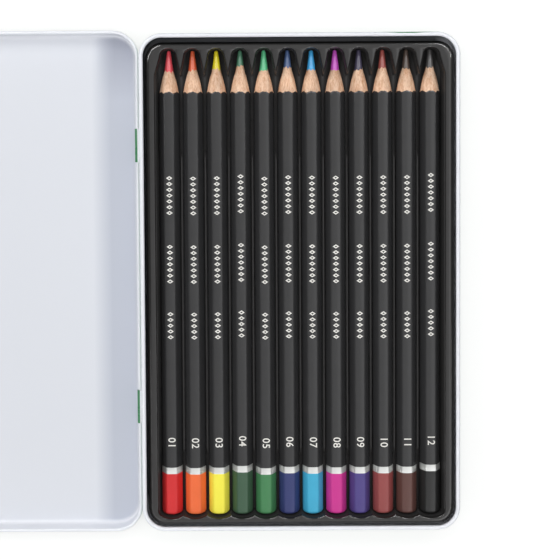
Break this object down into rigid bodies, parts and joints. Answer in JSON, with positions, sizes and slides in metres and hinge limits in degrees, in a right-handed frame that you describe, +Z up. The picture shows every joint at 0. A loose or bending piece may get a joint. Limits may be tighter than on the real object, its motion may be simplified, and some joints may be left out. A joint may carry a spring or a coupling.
{
  "type": "colour pencil tin",
  "caption": "Flat hinged tin with a thermoformed tray of hexagonal colour pencils, lid open.",
  "frame": {"origin": "centre of the base's underside", "axes": "+X from the hinge side to the front, +Y towards the pencil points, +Z up"},
  "size_m": [0.2395, 0.1878, 0.012],
  "materials": {
    "lacquered_tin": "white lacquered inside, green and white gloss outside",
    "formed_plastic": "thermoformed, glossy black",
    "lacquered_wood": "glossy black lacquer, bare wood at the sharpened end",
    "red_core": "waxy coloured pencil core",
    "orange_core": "waxy coloured pencil core",
    "yellow_core": "waxy coloured pencil core",
    "dark_green_core": "waxy coloured pencil core",
    "light_green_core": "waxy coloured pencil core",
    "dark_blue_core": "waxy coloured pencil core",
    "sky_blue_core": "waxy coloured pencil core",
    "pink_core": "waxy coloured pencil core",
    "purple_core": "waxy coloured pencil core",
    "dark_red_core": "waxy coloured pencil core",
    "brown_core": "waxy coloured pencil core",
    "black_core": "waxy coloured pencil core"
  },
  "bodies": {
    "base": {"base_tin": "lacquered_tin"},
    "lid": {"lid": "lacquered_tin"},
    "tray": {"tray": "formed_plastic"},
    "red_pencil": {"red_pencil_casing": "lacquered_wood", "red_pencil_core": "red_core"},
    "orange_pencil": {"orange_pencil_casing": "lacquered_wood", "orange_pencil_core": "orange_core"},
    "yellow_pencil": {"yellow_pencil_casing": "lacquered_wood", "yellow_pencil_core": "yellow_core"},
    "dark_green_pencil": {"dark_green_pencil_casing": "lacquered_wood", "dark_green_pencil_core": "dark_green_core"},
    "light_green_pencil": {"light_green_pencil_casing": "lacquered_wood", "light_green_pencil_core": "light_green_core"},
    "dark_blue_pencil": {"dark_blue_pencil_casing": "lacquered_wood", "dark_blue_pencil_core": "dark_blue_core"},
    "sky_blue_pencil": {"sky_blue_pencil_casing": "lacquered_wood", "sky_blue_pencil_core": "sky_blue_core"},
    "pink_pencil": {"pink_pencil_casing": "lacquered_wood", "pink_pencil_core": "pink_core"},
    "purple_pencil": {"purple_pencil_casing": "lacquered_wood", "purple_pencil_core": "purple_core"},
    "dark_red_pencil": {"dark_red_pencil_casing": "lacquered_wood", "dark_red_pencil_core": "dark_red_core"},
    "brown_pencil": {"brown_pencil_casing": "lacquered_wood", "brown_pencil_core": "brown_core"},
    "black_pencil": {"black_pencil_casing": "lacquered_wood", "black_pencil_core": "black_core"}
  },
  "joints": [
    {"name": "lid_hinge", "type": "hinge", "parent": "base", "child": "lid", "pos_m": [-0.05995, 0, 0.00635], "axis": [0, 1, 0], "range_deg": [0, 180]},
    {"name": "tray_lift", "type": "slide", "parent": "base", "child": "tray", "axis": [0, 0, 1], "range_m": [0, 0.03]},
    {"name": "red_pencil_lift", "type": "slide", "parent": "tray", "child": "red_pencil", "axis": [0, 0, 1], "range_m": [0, 0.03]},
    {"name": "orange_pencil_lift", "type": "slide", "parent": "tray", "child": "orange_pencil", "axis": [0, 0, 1], "range_m": [0, 0.03]},
    {"name": "yellow_pencil_lift", "type": "slide", "parent": "tray", "child": "yellow_pencil", "axis": [0, 0, 1], "range_m": [0, 0.03]},
    {"name": "dark_green_pencil_lift", "type": "slide", "parent": "tray", "child": "dark_green_pencil", "axis": [0, 0, 1], "range_m": [0, 0.03]},
    {"name": "light_green_pencil_lift", "type": "slide", "parent": "tray", "child": "light_green_pencil", "axis": [0, 0, 1], "range_m": [0, 0.03]},
    {"name": "dark_blue_pencil_lift", "type": "slide", "parent": "tray", "child": "dark_blue_pencil", "axis": [0, 0, 1], "range_m": [0, 0.03]},
    {"name": "sky_blue_pencil_lift", "type": "slide", "parent": "tray", "child": "sky_blue_pencil", "axis": [0, 0, 1], "range_m": [0, 0.03]},
    {"name": "pink_pencil_lift", "type": "slide", "parent": "tray", "child": "pink_pencil", "axis": [0, 0, 1], "range_m": [0, 0.03]},
    {"name": "purple_pencil_lift", "type": "slide", "parent": "tray", "child": "purple_pencil", "axis": [0, 0, 1], "range_m": [0, 0.03]},
    {"name": "dark_red_pencil_lift", "type": "slide", "parent": "tray", "child": "dark_red_pencil", "axis": [0, 0, 1], "range_m": [0, 0.03]},
    {"name": "brown_pencil_lift", "type": "slide", "parent": "tray", "child": "brown_pencil", "axis": [0, 0, 1], "range_m": [0, 0.03]},
    {"name": "black_pencil_lift", "type": "slide", "parent": "tray", "child": "black_pencil", "axis": [0, 0, 1], "range_m": [0, 0.03]}
  ]
}
